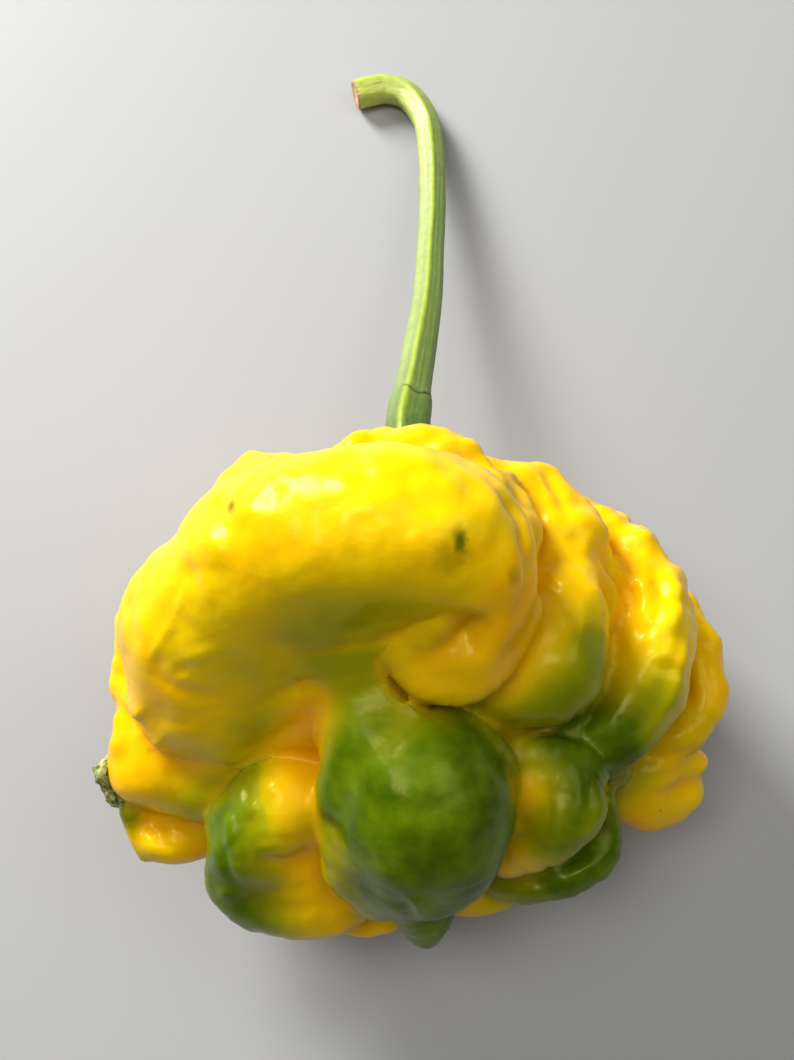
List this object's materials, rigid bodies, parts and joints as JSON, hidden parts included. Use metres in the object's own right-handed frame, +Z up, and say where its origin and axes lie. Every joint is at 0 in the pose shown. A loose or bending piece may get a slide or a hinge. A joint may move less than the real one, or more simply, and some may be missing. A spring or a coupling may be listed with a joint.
{
  "type": "chilli pepper",
  "caption": "Wrinkled, deeply lobed yellow and green chilli pepper, picked with its calyx and long curled stem, lying on its side.",
  "frame": {"origin": "middle of the footprint, on the surface that the pepper lies on", "axes": "+Y from the blossom end towards the cut end of the stem, +Z up, +X to the right seen from above with the stem pointing away"},
  "size_m": [0.0508, 0.0858, 0.0395],
  "materials": {
    "pod_skin": "waxy, glossy fruit skin, yellow with green blossom-end folds",
    "calyx_green": "leathery leaf green",
    "stem_green": "satin green stalk, paler towards its cut end",
    "dried_flower": "dry, crumpled olive brown"
  },
  "bodies": {
    "root": {"pod": "pod_skin", "calyx": "calyx_green", "stem": "stem_green", "flower_scrap": "dried_flower"}
  },
  "joints": []
}
